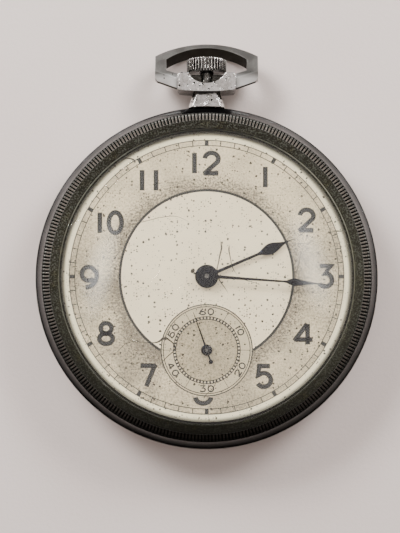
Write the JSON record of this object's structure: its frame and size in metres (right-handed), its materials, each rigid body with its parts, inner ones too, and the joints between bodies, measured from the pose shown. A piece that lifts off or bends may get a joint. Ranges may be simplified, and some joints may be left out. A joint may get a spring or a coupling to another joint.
{
  "type": "open face pocket watch",
  "caption": "Round open face pocket watch with domed crystal, reeded bezel, small seconds dial, ribbed winding crown, pendant and swinging bow.",
  "frame": {"origin": "centre of the flat of the back cover, which the watch lies on", "axes": "+Z out through the dial, +Y to twelve o'clock and the pendant, +X to three o'clock"},
  "size_m": [0.049, 0.0588, 0.0102],
  "materials": {
    "nickel_case": "worn dull nickel plate",
    "chrome_fittings": "bright pitted chrome plate",
    "steel": "fine ground steel",
    "blued_steel": "dark blued steel",
    "gilt_brass": "fine brushed gilt brass",
    "plate_nickel": "frosted nickel plated brass",
    "dial_silver": "aged silvered enamel",
    "acrylic_glass": "clear domed acrylic",
    "ruby": "polished synthetic ruby"
  },
  "bodies": {
    "case": {"case_middle": "nickel_case", "pendant": "chrome_fittings", "main_plate": "plate_nickel", "barrel_bridge": "plate_nickel", "train_bridge": "plate_nickel", "balance_cock": "plate_nickel", "pallet_cock": "plate_nickel", "minute_work_cover": "plate_nickel", "bridge_jewels": "ruby", "cock_jewel": "ruby", "plate_jewels": "ruby", "bridge_screws": "steel", "case_screws": "steel", "dial_screws": "steel", "crown_wheel_screw": "steel", "dial": "dial_silver", "yoke_spring": "blued_steel", "click_spring": "blued_steel", "hairspring": "blued_steel"},
    "back": {"back_cover": "nickel_case"},
    "front": {"bezel": "nickel_case", "crystal": "acrylic_glass"},
    "bow": {"bow": "chrome_fittings"},
    "clutch": {"winding_pinion": "steel"},
    "stem": {"crown": "chrome_fittings", "winding_stem": "steel"},
    "slider": {"sliding_pinion": "steel"},
    "setting_lever": {"setting_lever": "steel"},
    "yoke": {"yoke": "steel"},
    "click": {"click": "steel"},
    "crown_wheel": {"crown_wheel": "steel"},
    "ratchet": {"ratchet_wheel": "steel", "ratchet_screw": "steel", "barrel_arbor": "steel"},
    "barrel": {"barrel_drum": "gilt_brass", "barrel_cover": "gilt_brass", "mainspring": "blued_steel"},
    "centre": {"centre_wheel": "gilt_brass", "centre_pinion": "steel", "cannon_pinion": "steel", "minute_hand": "blued_steel"},
    "third": {"third_wheel": "gilt_brass", "third_pinion": "steel"},
    "fourth": {"fourth_wheel": "gilt_brass", "fourth_pinion": "steel", "seconds_hand": "blued_steel"},
    "escape": {"escape_wheel": "steel", "escape_pinion": "steel"},
    "minute_wheel": {"minute_wheel": "gilt_brass"},
    "hour_wheel": {"hour_wheel": "gilt_brass", "hour_hand": "blued_steel"},
    "intermediate": {"intermediate_wheel": "steel"},
    "setting": {"setting_wheel": "steel"},
    "pallet": {"pallet_fork": "steel", "pallet_stones": "ruby"},
    "balance": {"balance_wheel": "gilt_brass", "balance_screws": "gilt_brass", "balance_staff": "steel", "roller_jewel": "ruby"},
    "regulator": {"regulator": "steel"}
  },
  "joints": [
    {"name": "back_off", "type": "slide", "parent": "case", "child": "back", "axis": [0, 0, -1], "range_m": [0, 0.008]},
    {"name": "bezel_off", "type": "slide", "parent": "case", "child": "front", "axis": [0, 0, 1], "range_m": [0, 0.008]},
    {"name": "bow_swing", "type": "hinge", "parent": "case", "child": "bow", "pos_m": [0, 0.028, 0.004], "axis": [1, 0, 0], "range_deg": [-82, 137]},
    {"name": "crown_turn", "type": "hinge", "parent": "case", "child": "clutch", "pos_m": [0, 0.016, 0.004], "axis": [0, 1, 0], "continuous": true},
    {"name": "crown_pull", "type": "slide", "parent": "clutch", "child": "stem", "axis": [0, 1, 0], "range_m": [0, 0.0006]},
    {"name": "sliding_pinion_shift", "type": "slide", "parent": "clutch", "child": "slider", "axis": [0, 1, 0], "range_m": [-0.0006, 0]},
    {"name": "setting_lever_turn", "type": "hinge", "parent": "case", "child": "setting_lever", "pos_m": [0.0029, 0.01865, 0.005], "axis": [0, 0, 1], "range_deg": [-14, 0.5]},
    {"name": "yoke_turn", "type": "hinge", "parent": "case", "child": "yoke", "pos_m": [-0.0042, 0.01405, 0.005], "axis": [0, 0, 1], "range_deg": [-10, 0.5]},
    {"name": "click_lift", "type": "hinge", "parent": "case", "child": "click", "pos_m": [0.01094, 0.00728, 0.002], "axis": [0, 0, 1], "range_deg": [0, 14]},
    {"name": "crown_wheel_turn", "type": "hinge", "parent": "case", "child": "crown_wheel", "pos_m": [0, 0.01218, 0.002], "axis": [0, 0, 1], "continuous": true},
    {"name": "ratchet_turn", "type": "hinge", "parent": "case", "child": "ratchet", "pos_m": [0.00494, 0.00588, 0.002], "axis": [0, 0, 1], "continuous": true},
    {"name": "minute_hand_turn", "type": "hinge", "parent": "case", "child": "centre", "pos_m": [0, 0, 0.003], "axis": [0, 0, 1], "continuous": true},
    {"name": "barrel_turn", "type": "hinge", "parent": "case", "child": "barrel", "pos_m": [0.00494, 0.00588, 0.004], "axis": [0, 0, 1], "continuous": true},
    {"name": "third_wheel_turn", "type": "hinge", "parent": "case", "child": "third", "pos_m": [0.00324, -0.00592, 0.004], "axis": [0, 0, 1], "continuous": true},
    {"name": "seconds_hand_turn", "type": "hinge", "parent": "case", "child": "fourth", "pos_m": [0, -0.0104, 0.004], "axis": [0, 0, 1], "continuous": true},
    {"name": "escape_wheel_turn", "type": "hinge", "parent": "case", "child": "escape", "pos_m": [-0.0036, -0.01292, 0.004], "axis": [0, 0, 1], "continuous": true},
    {"name": "minute_wheel_turn", "type": "hinge", "parent": "case", "child": "minute_wheel", "pos_m": [-0.00045, 0.00256, 0.005], "axis": [0, 0, 1], "continuous": true},
    {"name": "hour_hand_turn", "type": "hinge", "parent": "case", "child": "hour_wheel", "pos_m": [0, 0, 0.0055], "axis": [0, 0, 1], "continuous": true},
    {"name": "intermediate_wheel_turn", "type": "hinge", "parent": "case", "child": "intermediate", "pos_m": [-0.00001, 0.00722, 0.005], "axis": [0, 0, 1], "continuous": true},
    {"name": "setting_wheel_turn", "type": "hinge", "parent": "case", "child": "setting", "pos_m": [0, 0.01125, 0.005], "axis": [0, 0, 1], "continuous": true},
    {"name": "pallet_rock", "type": "hinge", "parent": "case", "child": "pallet", "pos_m": [-0.00556, -0.01079, 0.004], "axis": [0, 0, 1], "range_deg": [-4, 4]},
    {"name": "balance_swing", "type": "hinge", "parent": "case", "child": "balance", "pos_m": [-0.00979, -0.00618, 0.0034], "axis": [0, 0, 1], "range_deg": [-150, 150]},
    {"name": "regulator_shift", "type": "hinge", "parent": "case", "child": "regulator", "pos_m": [-0.00979, -0.00618, 0.002], "axis": [0, 0, 1], "range_deg": [-18, 18]}
  ],
  "couplings": [
    {"joint": "barrel_turn", "follows": "minute_hand_turn", "ratio": -0.14286},
    {"joint": "third_wheel_turn", "follows": "minute_hand_turn", "ratio": -8},
    {"joint": "seconds_hand_turn", "follows": "minute_hand_turn", "ratio": 60},
    {"joint": "escape_wheel_turn", "follows": "minute_hand_turn", "ratio": -600},
    {"joint": "minute_wheel_turn", "follows": "minute_hand_turn", "ratio": -0.33333},
    {"joint": "hour_hand_turn", "follows": "minute_hand_turn", "ratio": 0.083333},
    {"joint": "intermediate_wheel_turn", "follows": "minute_hand_turn", "ratio": 0.2381},
    {"joint": "setting_wheel_turn", "follows": "minute_hand_turn", "ratio": -0.5},
    {"joint": "crown_wheel_turn", "follows": "crown_turn", "ratio": 0.44444},
    {"joint": "ratchet_turn", "follows": "crown_turn", "ratio": -0.36364},
    {"joint": "sliding_pinion_shift", "follows": "crown_pull", "ratio": -1},
    {"joint": "setting_lever_turn", "follows": "crown_pull", "rad_per_m": -345.45},
    {"joint": "yoke_turn", "follows": "crown_pull", "rad_per_m": -238.3}
  ]
}
